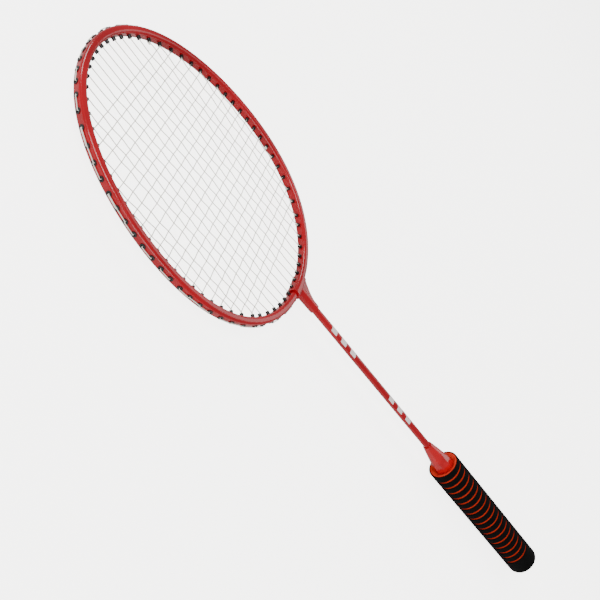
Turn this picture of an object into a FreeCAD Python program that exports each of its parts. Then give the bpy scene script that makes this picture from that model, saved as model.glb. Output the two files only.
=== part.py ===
# Badminton racket, built as separate pieces. Millimetres.
# It is drawn with the butt at y = 0, the crown at the far end of +Y and the string bed in the plane z = 0.
# At the end everything moves together, so that the origin lies under the middle of the box around it.
import FreeCAD, Part
import math
import os
from FreeCAD import Vector

# Overall sizes
overall_length = 665.0
head_length = 250.0
head_width = 200.0
head_egg = 0.082          # how much fuller the oval is towards the throat
head_square = 0.035       # how much squarer than an ellipse

# Head tube, a flattened steel tube bent into a hoop
tube_width = 6.6
tube_depth = 8.8
tube_corner = 2.4
tube_wall = 0.5
seam_gap = 0.4

# Splice bar inside the hoop's two ends
splice_half = 17.0
splice_clearance = 0.1

# Strings and grommets
string_radius = 0.35
string_clearance = 0.01
main_count_half = 11
main_spacing = 8.15
main_fan = 0.3            # closer together than that at the crown, and further apart at the throat
own_hole_mains = 7        # mains on each side that have holes of their own, the others share the crosses'
cross_count = 20
crown_cross_gap = 32.7    # from the hoop's inner face to the first cross string, and to the last one
throat_cross_gap = 27.3
string_bend = 1.2
grommet_radius = 1.5
grommet_bore = 1.1
grommet_reach = 2.6       # how far a barrel stands out inside the hoop
flange_radius = 2.2
flange_thickness = 0.6
hole_clearance = 0.05
loop_gap = 0.1

# Throat joint
collar_half = 10.0
collar_wall = 1.2
collar_clearance = 0.05
rim_length = 1.4
rim_height = 0.5
stem_length = 23.0        # below the hoop's outer face
stem_root_radius = 5.0
stem_end_wall = 1.05
web_thickness = 3.2
web_reach = 17.5
web_depth = 22.0
channel_radius = 0.8

# Shaft
shaft_radius = 3.3
shaft_wall = 0.5
shaft_clearance = 0.05
shaft_set_back = 4.0      # between the hoop's outer face and the shaft's end
shaft_in_core = 95.0

# Handle
grip_length = 173.0
grip_radius = 15.5
skin_thickness = 1.1
core_flat = 9.3           # half the distance across the octagon's flats
foam_clearance = 0.1
cap_exposed = 30.5
cap_top_wall = 1.05
cap_top_step = 0.6        # the cone's octagon stands this far outside its round top
cap_collar_length = 2.0
cap_skirt = 14.0
cap_skirt_wall = 2.0
skin_round = 1.6
foam_set_in = 0.5         # the red foam's mouth lies a little inside the black skin
pin_radius = 1.25
pin_from_core_top = 40.0
butt_dome_radius = 11.5
butt_dome_height = 4.0
butt_plate = 2.0
butt_round = 3.0
butt_spigot_radius = 4.0
butt_spigot_length = 12.0

# Small gaps, steps and smoothness
min_corner = 0.3
long_spans = 64
short_spans = 10
barrel_to_bend = 0.7
flange_seat = 0.02
foam_gap = 0.05
butt_step = 1.0           # how far the skin passes the butt plate
web_tip_rise = 2.3
web_waist = 9.2
web_waist_drop = 8.5

# Worked out from the sizes above
half_width = (head_width - tube_width) / 2
half_length = (head_length - tube_width) / 2
head_middle = overall_length - head_length / 2
throat_outer = overall_length - head_length
stem_end_radius = shaft_radius + shaft_clearance + stem_end_wall
cap_top_radius = shaft_radius + shaft_clearance + cap_top_wall
cap_top_flat = cap_top_radius + cap_top_step
cap_base_radius = core_flat / math.cos(math.pi / 8)
core_top = grip_length
core_bottom = butt_dome_height + butt_plate
skirt_bottom = core_top - cap_skirt
bore_bottom = core_top - shaft_in_core
main_level = string_radius + string_clearance
cross_level = -main_level
Y = Vector(0, 1, 0)
Z = Vector(0, 0, 1)


def fullness(t):
    return math.sin(t) * (1 - head_egg * math.cos(t) + head_square * math.cos(2 * t))


widest = max(fullness(math.pi * k / 720) for k in range(721))


def hoop_point(t):
    # the hoop's centreline: t = 0 at the crown, pi at the throat
    return Vector(half_width * fullness(t) / widest, head_middle + half_length * math.cos(t), 0)


def outward(t):
    step = 1e-4
    along = hoop_point(t + step) - hoop_point(t - step)
    along.normalize()
    return Vector(-along.y, along.x, 0)


def bend_inside(t):
    # where a string bends, just past the inner end of its grommet
    return hoop_point(t) - outward(t) * (tube_width / 2 + grommet_reach + barrel_to_bend)


def bend_outside(t):
    return hoop_point(t) + outward(t) * (tube_width / 2 + flange_thickness + string_radius + loop_gap)


def first_angle(start, end, reached):
    # halves the way between two angles until it meets the place where the test comes true
    for _ in range(60):
        middle = (start + end) / 2
        if reached(middle):
            end = middle
        else:
            start = middle
    return start


def angle_at_x(x, end, line=hoop_point):
    # the angle where the +X half has this x, on the crown's side (end = 0) or the throat's (end = pi)
    return first_angle(end, math.pi / 2, lambda t: line(t).x >= x)


def hoop_path(start, end, spans):
    curve = Part.BSplineCurve()
    curve.interpolate([hoop_point(start + (end - start) * k / spans) for k in range(spans + 1)])
    return Part.Wire(curve.toShape())


def tube_section(angle, extra):
    # the tube's outline across the hoop, a rectangle with round corners, larger all round by extra
    wide = tube_width / 2 + extra
    deep = tube_depth / 2 + extra
    corner = max(tube_corner + extra, min_corner)
    flat_x = wide - corner
    flat_z = deep - corner
    bend = corner * math.sqrt(0.5)
    side = outward(angle)
    centre = hoop_point(angle)

    def at(across, up):
        return centre + side * across + Z * up

    edges = []
    for sx, sz in ((1, 1), (-1, 1), (-1, -1), (1, -1)):
        first = (wide * sx, flat_z * sz)
        last = (flat_x * sx, deep * sz)
        if sx * sz < 0:
            first, last = last, first
        middle = (sx * (flat_x + bend), sz * (flat_z + bend))
        edges.append(Part.Arc(at(*first), at(*middle), at(*last)).toShape())
    sides = []
    for k, edge in enumerate(edges):
        following = edges[(k + 1) % len(edges)]
        sides.append(edge)
        sides.append(Part.makeLine(edge.Vertexes[-1].Point, following.Vertexes[0].Point))
    return Part.Wire(sides)


def hoop_bar(start, end, extra, spans):
    # a solid bar that follows the hoop from one angle to another
    pipe = Part.BRepOffsetAPI.MakePipeShell(hoop_path(start, end, spans))
    pipe.setBiNormalMode(Z)
    pipe.add(tube_section(start, extra))
    pipe.build()
    pipe.makeSolid()
    return pipe.shape()


def throat_bar(half, extra):
    # a bar across the throat as far as x = half on both sides
    far = angle_at_x(half, math.pi)
    return hoop_bar(far, 2 * math.pi - far, extra, short_spans)


def cross_angle(k):
    crown_inner = overall_length - tube_width
    spacing = (head_length - 2 * tube_width - crown_cross_gap - throat_cross_gap) / (cross_count - 1)
    y = crown_inner - crown_cross_gap - k * spacing
    return first_angle(0, math.pi, lambda t: bend_inside(t).y <= y)


def main_x(j, fan=0.0):
    return (main_spacing + fan) * (j + 0.5)


def shared_hole(j, end):
    # the cross string's hole nearest to a main, on the crown's side or the throat's
    half = range(cross_count // 2) if end == 0 else range(cross_count // 2, cross_count)
    return min(half, key=lambda k: abs(bend_inside(cross_angle(k)).x - main_x(j)))


def main_angle(j, end):
    if j < own_hole_mains:
        fan = -main_fan if end == 0 else main_fan
        return angle_at_x(main_x(j, fan), end, bend_inside)
    return cross_angle(shared_hole(j, end))


def passed_over(j):
    # the outside points of the holes that the loop from main j to main j + 1 passes without using
    end = math.pi if j % 2 == 0 else 0
    if j < own_hole_mains or j + 1 == main_count_half:
        return []
    first = shared_hole(j, end)
    last = shared_hole(j + 1, end)
    step = 1 if last > first else -1
    return [bend_outside(cross_angle(k)) for k in range(first + step, last, step)]


def mirrored(point):
    return Vector(-point.x, point.y, point.z)


def hole_ends(angle, side):
    ends = [bend_inside(angle), bend_outside(angle)]
    return ends if side > 0 else [mirrored(p) for p in ends]


def main_route():
    # from the middle outwards, up and down in turn, and tied off in the next hole past the last one
    half = []
    for j in range(main_count_half):
        top = hole_ends(main_angle(j, 0), 1)
        bottom = hole_ends(main_angle(j, math.pi), 1)
        run = top[::-1] + bottom
        half += run if j % 2 == 0 else run[::-1]
        half += passed_over(j)
    tie_off = shared_hole(main_count_half - 1, math.pi) - 1
    half += hole_ends(cross_angle(tie_off), 1)[::-1]
    return [mirrored(p) for p in half[::-1]] + half


def cross_route():
    route = list(hole_ends(main_angle(own_hole_mains - 1, 0), 1))
    for k in range(cross_count):
        run = hole_ends(cross_angle(k), 1)[::-1] + hole_ends(cross_angle(k), -1)
        route += run if k % 2 == 0 else run[::-1]
    return route + hole_ends(main_angle(own_hole_mains - 1, math.pi), 1)[::-1]


def rounded_wire(points, radius, level):
    # straight runs joined by tangent arcs, all at one height
    points = [Vector(p.x, p.y, level) for p in points]
    edges = []
    start = points[0]
    for before, corner, after in zip(points, points[1:], points[2:]):
        arriving = (corner - before).normalize()
        leaving = (after - corner).normalize()
        turn = arriving.getAngle(leaving)
        shorter = min((corner - before).Length, (after - corner).Length)
        set_back = min(radius * math.tan(turn / 2), 0.45 * shorter)
        bend = set_back / math.tan(turn / 2)
        first = corner - arriving * set_back
        last = corner + leaving * set_back
        inward = (leaving - arriving).normalize()
        middle = corner + inward * (bend / math.cos(turn / 2) - bend)
        edges.append(Part.makeLine(start, first))
        edges.append(Part.Arc(first, middle, last).toShape())
        start = last
    edges.append(Part.makeLine(start, points[-1]))
    return Part.Wire(edges)


def string(points, level):
    wire = rounded_wire(points, string_bend, level)
    along = wire.Edges[0].tangentAt(0)
    ring = Part.Wire(Part.makeCircle(string_radius, wire.Vertexes[0].Point, along))
    body = wire.makePipeShell([ring], True, False)
    expected = math.pi * string_radius ** 2 * wire.Length
    print("string length", round(wire.Length), "volume", round(body.Volume / expected, 4), body.isValid())
    return body


def barrel(angle, side, radius, from_inside, to_outside):
    # a cylinder through one hole, measured along the hole from the hoop's centreline
    start = hoop_point(angle) - outward(angle) * from_inside
    along = outward(angle)
    if side < 0:
        start, along = mirrored(start), mirrored(along)
    return Part.makeCylinder(radius, from_inside + to_outside, start, along)


def grommet(angle, side):
    face = tube_width / 2
    inside = face + grommet_reach
    outside = face + flange_thickness
    body = barrel(angle, side, grommet_radius, inside, face + flange_seat)
    flange = barrel(angle, side, flange_radius, -face - flange_seat, outside)
    return body.fuse(flange).cut(barrel(angle, side, grommet_bore, inside + 1, outside + 1)).removeSplitter()


def grommets(angles, sides):
    return Part.makeCompound([grommet(a, s) for s in sides for a in angles])


def drill(angle, side):
    clear = tube_depth
    return barrel(angle, side, grommet_radius + hole_clearance, clear, clear)


def octagon(half_flat, start, end):
    # an eight-sided bar along Y with flats at the sides, the top and the bottom
    corner = half_flat / math.cos(math.pi / 8)
    turns = [math.pi / 8 + k * math.pi / 4 for k in range(9)]
    outline = [Vector(corner * math.cos(a), start, corner * math.sin(a)) for a in turns]
    return Part.Face(Part.makePolygon(outline)).extrude(Vector(0, end - start, 0))


def tapered_octagon(start_flat, end_flat, start, end):
    wires = [octagon(start_flat, start, start + 1), octagon(end_flat, end, end + 1)]
    ends = [[f for f in bar.Faces if abs(f.CenterOfMass.y - at) < 1e-6][0].OuterWire
            for bar, at in zip(wires, (start, end))]
    return Part.makeLoft(ends, True, True)


def round_bar(radius, start, end):
    return Part.makeCylinder(radius, end - start, Vector(0, start, 0), Y)


def head_frame(drills):
    gap = angle_gap()
    outer = hoop_bar(math.pi + gap, 3 * math.pi - gap, 0, long_spans)
    inner = hoop_bar(math.pi + gap, 3 * math.pi - gap, -tube_wall, long_spans)
    return outer.cut(inner).cut(drills)


def angle_gap():
    return math.pi - angle_at_x(seam_gap / 2, math.pi)


def hoop_splice(drills):
    return throat_bar(splice_half, -tube_wall - splice_clearance).cut(drills)


def web_plate():
    # a thin plate between the stem and the hoop, on the +X side only, with a hollow curved edge
    tip = throat_outer + web_tip_rise
    root = throat_outer - web_depth
    low = throat_outer - web_waist_drop
    edge = Part.Arc(Vector(web_reach, tip, 0), Vector(web_waist, low, 0), Vector(stem_end_radius, root, 0))
    places = ((stem_end_radius, root), (0, root), (0, tip), (web_reach, tip))
    corners = [Vector(x, y, 0) for x, y in places]
    outline = Part.Wire([edge.toShape()] + Part.makePolygon(corners).Edges)
    plate = Part.Face(outline).extrude(Z * web_thickness)
    plate.translate(Z * (-web_thickness / 2))
    return plate


def end_rim():
    # the raised rim round the collar's end on the -X side
    far = angle_at_x(collar_half, math.pi)
    near = angle_at_x(collar_half - rim_length, math.pi)
    rim = hoop_bar(far, near, collar_wall + rim_height, short_spans)
    return rim.mirror(Vector(), Vector(1, 0, 0))


def loop_channels():
    # the way of the middle mains' loops under the joint, with room for their grommets' flanges
    cuts = []
    for side in (1, -1):
        ends = [hole_ends(main_angle(j, math.pi), side)[1] + Z * main_level for j in (0, 1)]
        run = ends[1] - ends[0]
        cuts.append(Part.makeCylinder(channel_radius, run.Length, ends[0], run))
        for j in (0, 1):
            angle = main_angle(j, math.pi)
            face = tube_width / 2
            reach = face + flange_thickness + string_radius + loop_gap + channel_radius
            cuts.append(barrel(angle, side, flange_radius + hole_clearance, 0, reach))
            cuts.append(drill_inside(angle, side))
    return Part.makeCompound(cuts)


def drill_inside(angle, side):
    return barrel(angle, side, grommet_radius + hole_clearance, tube_depth, 0)


def throat_joint():
    collar = throat_bar(collar_half, collar_wall)
    top = throat_outer + tube_width / 2
    stem = Part.makeCone(stem_root_radius, stem_end_radius, stem_length + tube_width / 2,
                         Vector(0, top, 0), -Y)
    body = collar.fuse([end_rim(), stem, web_plate()])
    body = body.cut(throat_bar(web_reach + collar_half, collar_clearance))
    body = body.cut(round_bar(shaft_radius + shaft_clearance, throat_outer - stem_length - 1,
                              throat_outer - shaft_set_back))
    body = body.cut(loop_channels())
    return max(body.Solids, key=lambda solid: solid.Volume).removeSplitter()


def pin_hole(radius, half):
    at = core_top - pin_from_core_top
    return Part.makeCylinder(radius, 2 * half, Vector(-half, at, 0), Vector(1, 0, 0))


def shaft():
    top = throat_outer - shaft_set_back
    tube = round_bar(shaft_radius, bore_bottom, top).cut(round_bar(shaft_radius - shaft_wall, 0, top + 1))
    return tube.cut(pin_hole(pin_radius, shaft_radius + 1))


def cone_cap():
    top = core_top + cap_exposed
    cone = Part.makeCone(cap_base_radius, cap_top_radius, cap_exposed, Vector(0, core_top, 0), Y)
    cone = cone.common(tapered_octagon(core_flat, cap_top_flat, core_top, top))
    collar = round_bar(cap_top_radius, top - cap_collar_length, top)
    body = cone.fuse([octagon(core_flat, skirt_bottom, core_top), collar])
    body = body.cut(octagon(core_flat - cap_skirt_wall, skirt_bottom - 1, core_top))
    return body.cut(round_bar(shaft_radius + shaft_clearance, core_top - 1, top + 1)).removeSplitter()


def handle_core():
    spigot = core_flat - cap_skirt_wall - foam_clearance
    body = octagon(core_flat, core_bottom, skirt_bottom).fuse(octagon(spigot, skirt_bottom, core_top))
    body = body.cut(round_bar(shaft_radius + shaft_clearance, bore_bottom, core_top + 1))
    body = body.cut(round_bar(butt_spigot_radius + shaft_clearance, 0, core_bottom + butt_spigot_length + 1))
    return body.cut(pin_hole(pin_radius, core_flat + 1)).removeSplitter()


def grip_inner_foam():
    outer = round_bar(grip_radius - skin_thickness - foam_gap, core_bottom, grip_length - foam_set_in)
    return outer.cut(octagon(core_flat + foam_clearance, 0, grip_length + 1))


def grip_outer_foam():
    start = butt_dome_height - butt_step
    skin = round_bar(grip_radius, start, grip_length)
    rims = [e for e in skin.Edges if e.Length > grip_radius * 6]
    skin = skin.makeFillet(min(skin_round, skin_thickness * 0.8), rims)
    return skin.cut(round_bar(grip_radius - skin_thickness, 0, grip_length + 1))


def butt_cap():
    dome = round_bar(butt_dome_radius, 0, core_bottom)
    rim = [e for e in dome.Edges if abs(e.CenterOfMass.y) < 1e-6 and e.Length > butt_dome_radius * 6]
    dome = dome.makeFillet(butt_round, rim)
    plate = round_bar(grip_radius - skin_thickness - foam_gap, butt_dome_height, core_bottom)
    spigot = round_bar(butt_spigot_radius, core_bottom - 1, core_bottom + butt_spigot_length)
    return dome.fuse([plate, spigot]).removeSplitter()


own_crown = [main_angle(j, 0) for j in range(own_hole_mains)]
own_throat = [main_angle(j, math.pi) for j in range(own_hole_mains)]
cross_holes = [cross_angle(k) for k in range(cross_count)]
every_drill = Part.makeCompound([drill(a, s) for a in own_crown + cross_holes + own_throat for s in (1, -1)])

pieces = {
    "head_frame": head_frame(every_drill),
    "hoop_splice": hoop_splice(every_drill),
    "throat_joint": throat_joint(),
    "shaft": shaft(),
    "cone_cap": cone_cap(),
    "handle_core": handle_core(),
    "shaft_pin": pin_hole(pin_radius, core_flat - foam_clearance),
    "grip_inner_foam": grip_inner_foam(),
    "grip_outer_foam": grip_outer_foam(),
    "butt_cap": butt_cap(),
    "crown_grommets": grommets(own_crown, (1, -1)),
    "left_grommets": grommets(cross_holes, (-1,)),
    "right_grommets": grommets(cross_holes, (1,)),
    "throat_grommets": grommets(own_throat, (1, -1)),
    "main_string": string(main_route(), main_level),
    "cross_string": string(cross_route(), cross_level),
}

crown_loop = hole_ends(main_angle(0, 0), 1)[1].y + string_radius
origin = Vector(0, crown_loop / 2, -grip_radius)
print("overall", round(crown_loop, 3), "moved by", -origin)
os.makedirs("parts", exist_ok=True)
for name, shape in pieces.items():
    shape.translate(-origin)
    print(name, len(shape.Solids), round(shape.Volume, 1), shape.isValid())
    shape.exportStep("parts/" + name + ".step")
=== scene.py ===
# Badminton racket with a red steel hoop, woven nylon strings and a grooved foam grip.
# Everything is in metres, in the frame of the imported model: the butt is at -Y and the string bed faces +Z.
import math
import bmesh
import bpy
from mathutils import Matrix, Quaternion, Vector


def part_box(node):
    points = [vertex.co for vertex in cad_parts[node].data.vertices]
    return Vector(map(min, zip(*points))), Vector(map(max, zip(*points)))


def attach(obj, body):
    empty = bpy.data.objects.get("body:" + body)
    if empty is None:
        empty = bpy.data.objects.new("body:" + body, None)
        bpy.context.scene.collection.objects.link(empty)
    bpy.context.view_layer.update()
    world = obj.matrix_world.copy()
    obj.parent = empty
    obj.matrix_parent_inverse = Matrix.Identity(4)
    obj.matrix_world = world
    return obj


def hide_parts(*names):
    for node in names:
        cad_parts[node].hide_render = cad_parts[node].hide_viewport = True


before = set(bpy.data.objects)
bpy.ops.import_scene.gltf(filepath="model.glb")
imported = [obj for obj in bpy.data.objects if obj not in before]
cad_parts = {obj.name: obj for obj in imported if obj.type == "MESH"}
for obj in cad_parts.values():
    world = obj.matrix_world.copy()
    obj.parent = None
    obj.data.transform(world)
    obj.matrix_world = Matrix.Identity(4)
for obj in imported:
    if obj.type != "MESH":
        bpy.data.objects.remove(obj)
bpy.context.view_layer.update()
print("frame loaded")

mm = 0.001
across = Vector((1, 0, 0))
along = Vector((0, 1, 0))
up = Vector((0, 0, 1))

for leftover in ("Cube", "Light", "Camera"):
    if leftover in bpy.data.objects:
        bpy.data.objects.remove(bpy.data.objects[leftover])


# Shared helpers

def paintColour(code):
    # an sRGB hex value as linear RGBA
    parts = [int(code[k:k + 2], 16) / 255 for k in (1, 3, 5)]
    linear = [p / 12.92 if p <= 0.04045 else ((p + 0.055) / 1.055) ** 2.4 for p in parts]
    return (*linear, 1.0)


def addNode(tree, kind, settings=None, links=None):
    # a setting is an input's value if the node has such an input, otherwise an option of the node
    node = tree.nodes.new(kind)
    options = {name: value for name, value in (settings or {}).items() if hasattr(node, str(name))}
    for name, value in options.items():
        setattr(node, name, value)
    for name, value in (settings or {}).items():
        if name not in options:
            node.inputs[name].default_value = value
    for name, source in (links or {}).items():
        tree.links.new(source, node.inputs[name])
    return node


def startMaterial(name, shaderSettings):
    material = bpy.data.materials.new(name)
    material.use_nodes = True
    tree = material.node_tree
    shader = tree.nodes["Principled BSDF"]
    for socket, value in shaderSettings.items():
        shader.inputs[socket].default_value = value
    place = addNode(tree, "ShaderNodeTexCoord").outputs["Object"]
    return material, tree, shader, place


def noiseOf(tree, place, size, detail=2.0):
    # a noise whose lumps are about this large
    settings = {"Scale": 1 / size, "Detail": detail, "Roughness": 0.55}
    return addNode(tree, "ShaderNodeTexNoise", settings, {"Vector": place}).outputs["Fac"]


def mixColours(tree, factor, first, second):
    # each of the two is a hex code or another node's colour
    settings = {"data_type": "RGBA"}
    links = {0: factor}
    for socket, colour in ((6, first), (7, second)):
        if isinstance(colour, str):
            settings[socket] = paintColour(colour)
        else:
            links[socket] = colour
    return addNode(tree, "ShaderNodeMix", settings, links).outputs[2]


def calculate(tree, operation, *values):
    settings = {"operation": operation}
    links = {}
    for place, value in enumerate(values):
        if isinstance(value, (int, float)):
            settings[place] = value
        else:
            links[place] = value
    return addNode(tree, "ShaderNodeMath", settings, links).outputs[0]


def fromRange(tree, value, low, high, newLow=0.0, newHigh=1.0):
    settings = {"From Min": low, "From Max": high, "To Min": newLow, "To Max": newHigh}
    return addNode(tree, "ShaderNodeMapRange", settings, {"Value": value}).outputs[0]


def bumpFrom(tree, shader, height, distance, strength=1.0):
    settings = {"Distance": distance, "Strength": strength}
    bump = addNode(tree, "ShaderNodeBump", settings, {"Height": height})
    tree.links.new(bump.outputs[0], shader.inputs["Normal"])


def dress(nodeName, material):
    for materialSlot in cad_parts[nodeName].material_slots:
        materialSlot.material = material


def addPiece(name, data, material, slotName, *stoodFor):
    # the new piece rides on the racket's one body and hides the CAD nodes that it stands for
    piece = bpy.data.objects.new(name, data)
    bpy.context.scene.collection.objects.link(piece)
    data.materials.append(material)
    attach(piece, "root")
    if stoodFor:
        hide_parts(*stoodFor)
    return piece


def finishMesh(bm, name):
    bmesh.ops.remove_doubles(bm, verts=bm.verts, dist=0.002 * mm)
    bmesh.ops.recalc_face_normals(bm, faces=bm.faces)
    mesh = bpy.data.meshes.new(name)
    bm.to_mesh(mesh)
    bm.free()
    for polygon in mesh.polygons:
        polygon.use_smooth = True
    return mesh


def smoothStep(low, high, value):
    part = min(max((value - low) / (high - low), 0.0), 1.0)
    return part * part * (3 - 2 * part)


# Paints and plastics

enamel = {"colour": "#A80416", "deep": "#920310", "roughness": 0.2, "peel": 1.1 * mm,
          "peelDepth": 0.006 * mm, "cloud": 45 * mm, "scuff": 3.5 * mm, "scuffTone": "#B21C22"}


def glossyRed(name, look, shaderSettings, colourOver=None):
    # gloss over a smooth coloured ground: clear reflections, a faint orange peel and a few dull scuffs
    material, tree, shader, place = startMaterial(name, shaderSettings)
    cloud = fromRange(tree, noiseOf(tree, place, look["cloud"], 1.0), 0.35, 0.65)
    ground = mixColours(tree, cloud, look["deep"], look["colour"])
    scuffs = fromRange(tree, noiseOf(tree, place, look["scuff"], 6.0), 0.66, 0.74, 0.0, 0.5)
    colour = mixColours(tree, scuffs, ground, look["scuffTone"])
    if colourOver:
        colour = colourOver(tree, place, colour)
    tree.links.new(colour, shader.inputs["Base Color"])
    rough = fromRange(tree, scuffs, 0.0, 0.5, look["roughness"], look["roughness"] + 0.18)
    tree.links.new(rough, shader.inputs["Roughness"])
    bumpFrom(tree, shader, noiseOf(tree, place, look["peel"], 1.0), look["peelDepth"])
    return material


# Stoving enamel sprayed on steel tube: a hard, wet-looking skin
# with an orange peel finer than it is drawn here
enamelCoat = {"Coat Weight": 0.12, "Coat Roughness": 0.05, "IOR": 1.5, "Specular IOR Level": 0.4}
redEnamel = glossyRed("redStovingEnamel", enamel, enamelCoat)
dress("head_frame", redEnamel)

# The throat joint is die-cast, sprayed with the same enamel a little thicker
jointPaint = dict(enamel, peel=1.6 * mm, peelDepth=0.01 * mm)
dress("throat_joint", glossyRed("redEnamelOnCasting", jointPaint, enamelCoat))

# White bars printed on the shaft's front, in two groups of three
bars = {"pitch": 14.5 * mm, "length": 7.6 * mm, "slant": 1.2 * mm, "from": 12, "to": 150, "white": "#EDE3E0",
        "groups": (369 * mm, 276 * mm), "count": 3, "wear": 0.8 * mm}
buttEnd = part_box("butt_cap")[0].y
axisHeight = (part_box("grip_outer_foam")[0].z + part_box("grip_outer_foam")[1].z) / 2


def printedBars(tree, place, ground):
    split = addNode(tree, "ShaderNodeSeparateXYZ", None, {0: place})
    height = calculate(tree, "SUBTRACT", split.outputs[2], axisHeight)
    turn = calculate(tree, "ARCTAN2", height, split.outputs[0])
    inside = calculate(tree, "MULTIPLY", calculate(tree, "GREATER_THAN", turn, math.radians(bars["from"])),
                       calculate(tree, "LESS_THAN", turn, math.radians(bars["to"])))
    lean = calculate(tree, "MULTIPLY", turn, bars["slant"])
    level = calculate(tree, "ADD", split.outputs[1], lean)
    mask = None
    for top in bars["groups"]:
        drop = calculate(tree, "SUBTRACT", buttEnd + top + bars["slant"] * math.pi / 2, level)
        steps = calculate(tree, "DIVIDE", drop, bars["pitch"])
        part = calculate(tree, "LESS_THAN", calculate(tree, "FRACT", steps), bars["length"] / bars["pitch"])
        started = calculate(tree, "GREATER_THAN", steps, 0.0)
        ended = calculate(tree, "LESS_THAN", steps, float(bars["count"]))
        group = calculate(tree, "MULTIPLY", part, calculate(tree, "MULTIPLY", started, ended))
        mask = group if mask is None else calculate(tree, "MAXIMUM", mask, group)
    mask = calculate(tree, "MULTIPLY", mask, inside)
    worn = fromRange(tree, noiseOf(tree, place, bars["wear"], 3.0), 0.3, 0.38, 0.75, 1.0)
    return mixColours(tree, calculate(tree, "MULTIPLY", mask, worn), ground, bars["white"])


dress("shaft", glossyRed("redEnamelWithPrint", enamel, enamelCoat, printedBars))

# ABS, injection moulded and polished: a saturated plastic with a soft gloss
capLook = {"colour": "#BE0614", "deep": "#AA0510", "roughness": 0.2, "peel": 2.0 * mm,
           "peelDepth": 0.008 * mm, "cloud": 12 * mm, "scuff": 2.2 * mm, "scuffTone": "#CC2A26"}
capGloss = {"IOR": 1.53, "Coat Weight": 0.1, "Coat Roughness": 0.12}
dress("cone_cap", glossyRed("redAbsMoulding", capLook, capGloss))


def plainMoulding(name, look, shaderSettings):
    # one colour with faint flow marks and a spark-eroded grain
    material, tree, shader, place = startMaterial(name, shaderSettings)
    flow = noiseOf(tree, place, look["flow"], 2.0)
    tree.links.new(mixColours(tree, flow, look["dark"], look["light"]), shader.inputs["Base Color"])
    grain = noiseOf(tree, place, look["grain"], 2.0)
    rough = fromRange(tree, grain, 0.3, 0.7, look["roughness"] - 0.05, look["roughness"] + 0.05)
    tree.links.new(rough, shader.inputs["Roughness"])
    bumpFrom(tree, shader, grain, look["grainDepth"])
    return material


# Nylon 6, moulded black: tough, slightly waxy, with a dull gloss
grommetLook = {"dark": "#040404", "light": "#0A0A0B", "flow": 4 * mm, "grain": 0.5 * mm,
               "grainDepth": 0.01 * mm, "roughness": 0.42}
blackNylon = plainMoulding("blackNylonMoulding", grommetLook, {"IOR": 1.53})
for grommetNode in ("crown_grommets", "left_grommets", "right_grommets", "throat_grommets"):
    dress(grommetNode, blackNylon)

# Polypropylene, black: softer looking than ABS, finely grained so that it doesn't show fingerprints
buttLook = {"dark": "#050505", "light": "#0B0B0C", "flow": 9 * mm, "grain": 0.45 * mm,
            "grainDepth": 0.02 * mm, "roughness": 0.5}
dress("butt_cap", plainMoulding("blackPolypropylene", buttLook, {"IOR": 1.49}))

# The pieces inside: a natural ABS core and splice, and a zinc-plated steel pin
coreLook = {"dark": "#CFC6B2", "light": "#DDD6C6", "flow": 20 * mm, "grain": 0.6 * mm,
            "grainDepth": 0.01 * mm, "roughness": 0.45}
naturalAbs = plainMoulding("naturalAbsMoulding", coreLook, {"IOR": 1.53})
dress("handle_core", naturalAbs)
dress("hoop_splice", naturalAbs)
pinLook = {"dark": "#9FA3A8", "light": "#C4C8CC", "flow": 3 * mm, "grain": 0.3 * mm,
           "grainDepth": 0.003 * mm, "roughness": 0.3}
dress("shaft_pin", plainMoulding("zincPlatedSteel", pinLook, {"Metallic": 1.0}))
print("paints and plastics done")


# Strings

stringing = {"radius": 0.35 * mm, "level": 0.36 * mm, "mains": 11, "spacing": 8.15 * mm, "fan": 0.3 * mm,
             "ownHoles": 7, "crosses": 20, "crownGap": 32.7 * mm, "throatGap": 27.3 * mm,
             "bend": 1.2 * mm, "smooth": 4, "round": 3, "knot": 0.42 * mm, "knotPoints": 14}
hoop = {"length": 250 * mm, "width": 200 * mm, "egg": 0.082, "square": 0.035, "tube": 6.6 * mm,
        "barrel": 2.6 * mm, "barrelToBend": 0.7 * mm, "flange": 0.6 * mm, "gap": 0.1 * mm}
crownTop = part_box("head_frame")[1].y
headMiddle = crownTop - hoop["length"] / 2


def fullness(t):
    return math.sin(t) * (1 - hoop["egg"] * math.cos(t) + hoop["square"] * math.cos(2 * t))


widest = max(fullness(math.pi * k / 720) for k in range(721))


def hoopPoint(t):
    # the hoop's centreline: t = 0 at the crown, pi at the throat
    halfWidth = (hoop["width"] - hoop["tube"]) / 2
    halfLength = (hoop["length"] - hoop["tube"]) / 2
    return Vector((halfWidth * fullness(t) / widest, headMiddle + halfLength * math.cos(t), 0))


def outward(t):
    run = (hoopPoint(t + 1e-4) - hoopPoint(t - 1e-4)).normalized()
    return Vector((-run.y, run.x, 0))


def bendInside(t):
    return hoopPoint(t) - outward(t) * (hoop["tube"] / 2 + hoop["barrel"] + hoop["barrelToBend"])


def bendOutside(t):
    clear = hoop["flange"] + stringing["radius"] + hoop["gap"]
    return hoopPoint(t) + outward(t) * (hoop["tube"] / 2 + clear)


def firstAngle(start, end, reached):
    for _ in range(50):
        middle = (start + end) / 2
        start, end = (start, middle) if reached(middle) else (middle, end)
    return start


def crossAngle(k):
    inner = hoop["length"] - 2 * hoop["tube"] - stringing["crownGap"] - stringing["throatGap"]
    level = crownTop - hoop["tube"] - stringing["crownGap"] - k * inner / (stringing["crosses"] - 1)
    return firstAngle(0, math.pi, lambda t: bendInside(t).y <= level)


crossAngles = [crossAngle(k) for k in range(stringing["crosses"])]
crossLevels = [bendInside(t).y for t in crossAngles]


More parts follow.
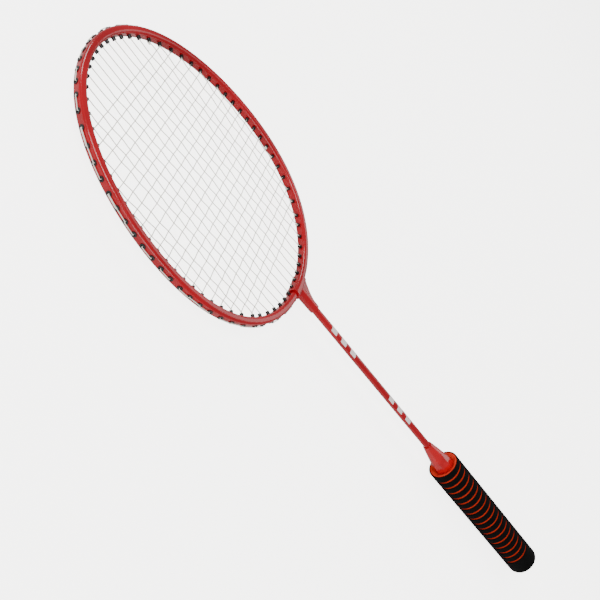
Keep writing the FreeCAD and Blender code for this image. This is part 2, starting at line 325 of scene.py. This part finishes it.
def sharedHole(j, end):
    # the cross string's hole nearest to a main, on the crown's side (end = 0) or the throat's (end = pi)
    mainX = stringing["spacing"] * (j + 0.5)
    middle = stringing["crosses"] // 2
    half = range(middle) if end == 0 else range(middle, stringing["crosses"])
    return min(half, key=lambda k: abs(bendInside(crossAngles[k]).x - mainX))


def mainAngle(j, end):
    # the own holes stand a little closer at the crown and a little wider at the throat
    fan = stringing["fan"] * (-1 if end == 0 else 1)
    mainX = (stringing["spacing"] + fan) * (j + 0.5)
    if j < stringing["ownHoles"]:
        return firstAngle(end, math.pi / 2, lambda t: bendInside(t).x >= mainX)
    return crossAngles[sharedHole(j, end)]


mainEnds = [[bendInside(mainAngle(j, end)) for end in (0, math.pi)] for j in range(stringing["mains"])]


def crossingX(j, k):
    # how far from the middle main j meets cross k, or None where the main has ended before it
    top, bottom = mainEnds[j]
    level = crossLevels[k]
    if bottom.y + mm < level < top.y - mm:
        return top.x + (bottom.x - top.x) * (level - top.y) / (bottom.y - top.y)
    return None


def crossingsOfMain(j):
    # with the main's height at each cross, above one and below the next
    points = []
    for k, level in enumerate(crossLevels):
        x = crossingX(j, k)
        if x is not None:
            points.append(Vector((x, level, weave(j + k))))
    return points


def weave(number):
    # a smooth spline reaches only half as high as points that alternate
    return 2 * stringing["level"] * (1 if number % 2 == 0 else -1)


def crossingsOfCross(k):
    points = []
    level = crossLevels[k]
    for j in range(stringing["mains"]):
        x = crossingX(j, k)
        if x is not None:
            points += [Vector((x, level, -weave(j + k))), Vector((-x, level, -weave(-j - 1 + k)))]
    return sorted(points, key=lambda p: p.x)


def atLevel(point, side, level):
    return Vector((point.x * side, point.y, level))


def mainRoute():
    # corners carry True: the string turns sharply there, at a grommet's edge
    level = stringing["level"]
    half = []
    for j in range(stringing["mains"]):
        ends = [(bendOutside(mainAngle(j, e)), bendInside(mainAngle(j, e))) for e in (0, math.pi)]
        run = [(ends[0][0], True), (ends[0][1], True)]
        run += [(p, False) for p in crossingsOfMain(j)]
        run += [(ends[1][1], True), (ends[1][0], True)]
        run = [(p if not corner else atLevel(p, 1, level), corner) for p, corner in run]
        half += run if j % 2 == 0 else run[::-1]
        end = math.pi if j % 2 == 0 else 0
        if stringing["ownHoles"] <= j < stringing["mains"] - 1:
            first, last = sharedHole(j, end), sharedHole(j + 1, end)
            step = 1 if last > first else -1
            passed = range(first + step, last, step)
            half += [(atLevel(bendOutside(crossAngles[k]), 1, level), True) for k in passed]
    tieOff = crossAngles[sharedHole(stringing["mains"] - 1, math.pi) - 1]
    half += [(atLevel(bendOutside(tieOff), 1, level), True), (atLevel(bendInside(tieOff), 1, level), True)]
    # the other half is its mirror image, woven the other way round
    other = [(Vector((-p.x, p.y, p.z if corner else -p.z)), corner) for p, corner in half]
    return other[::-1] + half


def crossRoute():
    level = -stringing["level"]
    lastOwn = stringing["ownHoles"] - 1
    first, last = mainAngle(lastOwn, 0), mainAngle(lastOwn, math.pi)
    route = [(atLevel(bendInside(first), 1, level), True), (atLevel(bendOutside(first), 1, level), True)]
    for k, t in enumerate(crossAngles):
        run = [(atLevel(bendOutside(t), -1, level), True), (atLevel(bendInside(t), -1, level), True)]
        run += [(p, False) for p in crossingsOfCross(k)]
        run += [(atLevel(bendInside(t), 1, level), True), (atLevel(bendOutside(t), 1, level), True)]
        route += run[::-1] if k % 2 == 0 else run
    route += [(atLevel(bendOutside(last), 1, level), True), (atLevel(bendInside(last), 1, level), True)]
    return route


def controlPoints(route):
    # a corner gets a point close before and after it, and a long plain stretch one beside its first crossing
    points = [route[0][0]]
    for (before, _), (here, corner), (after, _) in zip(route, route[1:], route[2:]):
        if corner:
            points.append(here + (before - here).normalized() * stringing["bend"])
            points.append(here)
            points.append(here + (after - here).normalized() * stringing["bend"])
        else:
            points += besideCrossing(before, here)
            points.append(here)
            points += besideCrossing(after, here)
    return points + [route[-1][0]]


def besideCrossing(neighbour, here):
    away = neighbour - here
    if away.length < 1.5 * stringing["spacing"]:
        return []
    spot = here + away.normalized() * stringing["spacing"]
    return [Vector((spot.x, spot.y, 0))]


def addSpline(curve, points, closed=False):
    spline = curve.splines.new("NURBS")
    spline.points.add(len(points) - 1)
    for point, place in zip(spline.points, points):
        point.co = (*place, 1)
    spline.use_cyclic_u = closed
    spline.order_u = 3
    spline.use_endpoint_u = not closed
    spline.resolution_u = stringing["smooth"]


def knot(place):
    # an overhand knot pulled tight beside the grommet
    points = []
    for k in range(stringing["knotPoints"]):
        t = 2 * math.pi * k / stringing["knotPoints"]
        loop = Vector((math.sin(t) + 2 * math.sin(2 * t), math.cos(t) - 2 * math.cos(2 * t),
                       -math.sin(3 * t)))
        points.append(place + stringing["knot"] * loop)
    return points


def stringPiece(name, route, material, node):
    lift = up * axisHeight
    curve = bpy.data.curves.new(name, "CURVE")
    curve.dimensions = "3D"
    curve.bevel_depth = stringing["radius"]
    curve.bevel_resolution = stringing["round"]
    curve.use_fill_caps = True
    addSpline(curve, [p + lift for p in controlPoints(route)])
    for end in (route[0][0], route[-1][0]):
        addSpline(curve, [p + lift for p in knot(end)], True)
    return addPiece(name, curve, material, "string_nylon", node)


stringLook = {"dark": "#E2DDCB", "light": "#F6F4EC", "flow": 6 * mm, "grain": 0.35 * mm,
              "grainDepth": 0.02 * mm, "roughness": 0.33}
# Braided nylon under a clear coat: an ivory thread with a soft translucent gleam,
# its braid drawn coarser than it is
stringCoat = {"IOR": 1.53, "Subsurface Weight": 0.15, "Subsurface Radius": (mm, mm, mm),
              "Subsurface Scale": 0.5}
whiteNylon = plainMoulding("coatedNylonBraid", stringLook, stringCoat)
stringPiece("mainString", mainRoute(), whiteNylon, "main_string")
stringPiece("crossString", crossRoute(), whiteNylon, "cross_string")
print("strings done")


# Grip

grip = {"pitch": 8.7 * mm, "firstGroove": 8.2 * mm, "firstAngle": 141, "depth": 1.7 * mm,
        "plainButt": 15.5 * mm, "plainMouth": 2.2 * mm, "fade": 2.0 * mm, "steps": 72, "skin": 1.1 * mm,
        "inner": 13.65 * mm, "mouthRound": 0.45 * mm, "buttRound": 3.0 * mm, "buttHole": 11.8 * mm,
        "buttBlack": 8 * mm, "seatDepth": 2.1 * mm, "redPatch": 5 * mm}
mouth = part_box("grip_outer_foam")[1].y
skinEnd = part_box("grip_outer_foam")[0].y
gripRadius = (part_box("grip_outer_foam")[1].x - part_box("grip_outer_foam")[0].x) / 2
gripAxis = Vector((0, 0, axisHeight))


def foamMaterial(name, look, shaderSettings, colourOver=None):
    material, tree, shader, place = startMaterial(name, shaderSettings)
    patches = noiseOf(tree, place, look["patch"], 3.0)
    colour = mixColours(tree, fromRange(tree, patches, 0.35, 0.65), look["dark"], look["light"])
    if colourOver:
        colour = colourOver(tree, place, colour)
    tree.links.new(colour, shader.inputs["Base Color"])
    cells = addNode(tree, "ShaderNodeTexVoronoi", {"Scale": 1 / look["cell"]}, {"Vector": place})
    tree.links.new(fromRange(tree, patches, 0.3, 0.7, look["roughness"] - 0.06, look["roughness"] + 0.04),
                   shader.inputs["Roughness"])
    bumpFrom(tree, shader, cells.outputs["Distance"], look["cellDepth"], 0.6)
    return material


def redInTheGroove(tree, place, ground):
    # the groove is cut through the black skin into the red foam under it
    fromAxis = addNode(tree, "ShaderNodeVectorMath", {"operation": "SUBTRACT", 1: tuple(gripAxis)},
                       {0: place})
    flat = addNode(tree, "ShaderNodeVectorMath", {"operation": "MULTIPLY", 1: (1, 0, 1)},
                   {0: fromAxis.outputs[0]})
    length = addNode(tree, "ShaderNodeVectorMath", {"operation": "LENGTH"}, {0: flat.outputs[0]})
    radius = length.outputs["Value"]
    skinBottom = gripRadius - grip["skin"]
    mask = fromRange(tree, radius, skinBottom - 0.12 * mm, skinBottom + 0.08 * mm, 1.0, 0.0)
    level = addNode(tree, "ShaderNodeSeparateXYZ", None, {0: place}).outputs[1]
    aboveButt = calculate(tree, "GREATER_THAN", level, skinEnd + grip["buttBlack"])
    mask = calculate(tree, "MULTIPLY", mask, aboveButt)
    red = mixColours(tree, noiseOf(tree, place, grip["redPatch"], 3.0), "#A02010", "#C83420")
    return mixColours(tree, mask, ground, red)


def makeGrooved():
    # one pitch of the grip's outline, wound round the axis: a groove with half a land on each side
    half = [(-grip["pitch"] / mm / 2, 0), (-3.0, 0), (-1.9, 0), (-1.6, 0.04), (-1.42, 0.16), (-1.3, 0.4),
            (-1.15, 1.2), (-0.95, 1.6), (-0.6, grip["depth"] / mm)]
    outline = half + [(-u, d) for u, d in half[::-1]]
    return [(u * mm, d * mm) for u, d in outline]


def makeGripSkin():
    bm = bmesh.new()
    shift = grip["pitch"] * grip["firstAngle"] / 360
    startLevel = mouth - grip["firstGroove"] + shift + 2 * grip["pitch"]
    turns = math.ceil((startLevel + grip["pitch"] - skinEnd) / grip["pitch"])
    row = [bm.verts.new(gripAxis + across * (gripRadius - d) + along * (startLevel + u))
           for u, d in makeGrooved()]
    edges = [bm.edges.new(pair) for pair in zip(row, row[1:])]
    steps = grip["steps"] * turns
    bmesh.ops.spin(bm, geom=row + edges, cent=gripAxis, axis=-along,
                   dvec=-along * (grip["pitch"] / grip["steps"]),
                   angle=2 * math.pi * turns, steps=steps, use_merge=False, use_duplicate=False)
    bmesh.ops.remove_doubles(bm, verts=bm.verts, dist=0.01 * mm)
    fadeGroove(bm)
    ends = {"mouth": mouth - grip["mouthRound"], "butt": skinEnd + grip["buttRound"]}
    for level, normal in ((ends["mouth"], along), (ends["butt"], -along)):
        bmesh.ops.bisect_plane(bm, geom=bm.verts[:] + bm.edges[:] + bm.faces[:], dist=0.001 * mm,
                               plane_co=along * level, plane_no=normal, clear_outer=True)
    loose = [v for v in bm.verts if not v.link_faces]
    bmesh.ops.delete(bm, geom=loose, context="VERTS")
    mouthRing = rimEdges(bm, ends["mouth"])
    buttRing = rimEdges(bm, ends["butt"])
    bend = grip["mouthRound"]
    skinInside = gripRadius - grip["skin"] + 0.02 * mm
    mouthSteps = [(gripRadius - bend * (1 - math.cos(a)), ends["mouth"] + bend * math.sin(a))
                  for a in (0.5, 1.05, math.pi / 2)]
    seat = mouth - grip["seatDepth"]
    mouthSteps += [(skinInside, mouth - 0.05 * mm), (skinInside, seat), (grip["inner"], seat)]
    bend = grip["buttRound"]
    buttSteps = [(gripRadius - bend * (1 - math.cos(a)), ends["butt"] - bend * math.sin(a))
                 for a in (0.3, 0.6, 0.9, 1.2, math.pi / 2)]
    buttSteps += [(grip["buttHole"], skinEnd), (grip["buttHole"], skinEnd + 0.8 * mm)]
    buttSteps += [(grip["inner"], skinEnd + 1.2 * mm)]
    mouthRing = growRing(bm, mouthRing, mouthSteps)
    buttRing = growRing(bm, buttRing, buttSteps)
    bmesh.ops.bridge_loops(bm, edges=mouthRing + buttRing)
    return finishMesh(bm, "gripSkin")


def fadeGroove(bm):
    # the groove runs out before the mouth and the butt
    for v in bm.verts:
        level = v.co.y
        deep = smoothStep(skinEnd + grip["plainButt"], skinEnd + grip["plainButt"] + grip["fade"], level)
        deep *= 1 - smoothStep(mouth - grip["plainMouth"] - grip["fade"], mouth - grip["plainMouth"], level)
        offset = Vector((v.co.x, 0, v.co.z - axisHeight))
        wanted = gripRadius - (gripRadius - offset.length) * deep
        v.co = gripAxis + along * level + offset.normalized() * wanted


def rimEdges(bm, level):
    openEdges = [e for e in bm.edges if len(e.link_faces) == 1]
    return [e for e in openEdges if all(abs(v.co.y - level) < 0.01 * mm for v in e.verts)]


def growRing(bm, edges, steps):
    # pulls an open ring on through these radii and levels, and returns its last edges
    for radius, level in steps:
        made = bmesh.ops.extrude_edge_only(bm, edges=edges)["geom"]
        edges = [g for g in made if isinstance(g, bmesh.types.BMEdge)]
        for v in {v for e in edges for v in e.verts}:
            offset = Vector((v.co.x, 0, v.co.z - axisHeight)).normalized()
            v.co = gripAxis + offset * radius + along * level
    return edges


blackFoam = {"dark": "#020202", "light": "#070707", "patch": 7 * mm, "cell": 0.5 * mm,
             "cellDepth": 0.05 * mm, "roughness": 0.82}
redFoam = {"dark": "#C22412", "light": "#DA3A20", "patch": 5 * mm, "cell": 0.5 * mm,
           "cellDepth": 0.06 * mm, "roughness": 0.88}
# Closed-cell EVA foam with a skinned surface: matt, slightly velvety, its cells drawn coarser than they are
skinMaterial = foamMaterial("blackEvaFoam", blackFoam, {"IOR": 1.45, "Specular IOR Level": 0.12},
                            redInTheGroove)
skinPiece = addPiece("gripSkin", makeGripSkin(), skinMaterial, "outer_foam", "grip_outer_foam")

foamMouth = {"octagon": 9.42 * mm, "octagonCorner": 10.25 * mm, "steps": 96, "gap": 0.05 * mm}


def makeGripFoam():
    # the red foam under the skin, its mouth rounded outside and dished towards the cone
    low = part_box("grip_inner_foam")[0].y
    hole = foamMouth["octagonCorner"]
    inner = grip["inner"] - foamMouth["gap"]
    lip = gripRadius - grip["skin"] - 0.04 * mm
    seat = mouth - grip["seatDepth"] - foamMouth["gap"]
    outline = [(hole, low), (inner, low), (inner, seat), (lip, seat),
               (lip, mouth - 0.9 * mm), (lip - 0.12 * mm, mouth - 0.5 * mm),
               (lip - 0.5 * mm, mouth - 0.2 * mm), (lip - 1.0 * mm, mouth - 0.1 * mm),
               (lip - 1.6 * mm, mouth - 0.25 * mm), (lip - 2.3 * mm, mouth - 0.8 * mm),
               (lip - 3.2 * mm, mouth - 1.5 * mm), (hole, mouth - 2.0 * mm)]
    bm = bmesh.new()
    row = [bm.verts.new(gripAxis + across * r + along * y) for r, y in outline]
    edges = [bm.edges.new(pair) for pair in zip(row, row[1:] + row[:1])]
    bmesh.ops.spin(bm, geom=row + edges, cent=gripAxis, axis=-along, dvec=(0, 0, 0), angle=2 * math.pi,
                   steps=foamMouth["steps"], use_merge=True, use_duplicate=False)
    for v in bm.verts:
        offset = Vector((v.co.x, 0, v.co.z - axisHeight))
        if offset.length < hole + foamMouth["gap"]:
            turn = math.atan2(offset.z, offset.x)
            fromFlat = (turn + math.pi / 8) % (math.pi / 4) - math.pi / 8
            reach = foamMouth["octagon"] / math.cos(fromFlat)
            v.co = gripAxis + offset.normalized() * reach + along * v.co.y
    return finishMesh(bm, "gripFoam")


foamPiece = addPiece("gripFoam", makeGripFoam(),
                     foamMaterial("redEvaFoam", redFoam, {"IOR": 1.45, "Specular IOR Level": 0.2}),
                     "inner_foam", "grip_inner_foam")
print("grip done")


# Floor, light and camera

studio = {"floor": "#F1F0EE", "floorSize": 20, "floorGlow": 5.0, "floorBounce": 0.0, "world": "#FFFFFF",
          "worldPower": 0.4, "keyPower": 16, "fillPower": 5, "rimPower": 8, "sidePower": 8}
bm = bmesh.new()
bmesh.ops.create_grid(bm, x_segments=1, y_segments=1, size=studio["floorSize"])
floorMesh = bpy.data.meshes.new("floor")
bm.to_mesh(floorMesh)
bm.free()
floor = bpy.data.objects.new("floor", floorMesh)
floor.location.z = -0.3 * mm
bpy.context.scene.collection.objects.link(floor)
floorPaint, floorTree, floorShader, _ = startMaterial("paleFloor", {"Roughness": 0.9})
floorShader.inputs["Base Color"].default_value = paintColour(studio["floor"])
floorShader.inputs["Emission Color"].default_value = paintColour(studio["floor"])
# the floor looks evenly lit to the camera, but throws little of that light back at the racket
cameraSees = addNode(floorTree, "ShaderNodeLightPath").outputs["Is Camera Ray"]
floorGlow = fromRange(floorTree, cameraSees, 0.0, 1.0, studio["floorBounce"], studio["floorGlow"])
floorTree.links.new(floorGlow, floorShader.inputs["Emission Strength"])
floorMesh.materials.append(floorPaint)

world = bpy.data.worlds.new("studio")
world.use_nodes = True
background = world.node_tree.nodes["Background"]
background.inputs[0].default_value = paintColour(studio["world"])
background.inputs[1].default_value = studio["worldPower"]
bpy.context.scene.world = world


def softBox(name, place, aim, size, power):
    lamp = bpy.data.lights.new(name, "AREA")
    lamp.shape = "RECTANGLE"
    lamp.size, lamp.size_y = size
    lamp.energy = power
    holder = bpy.data.objects.new(name, lamp)
    holder.location = place
    holder.rotation_euler = (Vector(aim) - Vector(place)).to_track_quat("-Z", "Y").to_euler()
    bpy.context.scene.collection.objects.link(holder)


softBox("key", (-0.7, 0.9, 1.3), (0, 0.1, 0), (0.8, 0.5), studio["keyPower"])
softBox("fill", (0.9, -0.6, 1.0), (0, 0, 0), (0.9, 0.9), studio["fillPower"])
softBox("rim", (0.6, 1.1, 0.7), (0, 0.1, 0), (0.7, 0.3), studio["rimPower"])
softBox("side", (-1.3, 0.1, 0.4), (0, 0.1, 0), (0.9, 0.5), studio["sidePower"])

view = {"place": (-0.4778, 0.3874, 0.3976), "aim": (-0.0070, 0.0769, 0.0155), "roll": 70.5, "lens": 49.8}
camera = bpy.data.objects.new("camera", bpy.data.cameras.new("camera"))
camera.data.lens = view["lens"]
camera.data.sensor_width = 36
camera.data.clip_start = 0.01
bpy.context.scene.collection.objects.link(camera)
facing = (Vector(view["aim"]) - Vector(view["place"])).to_track_quat("-Z", "Y")
camera.matrix_world = Matrix.LocRotScale(Vector(view["place"]),
                                         facing @ Quaternion((0, 0, 1), math.radians(view["roll"])), None)
bpy.context.scene.camera = camera
print("studio done")
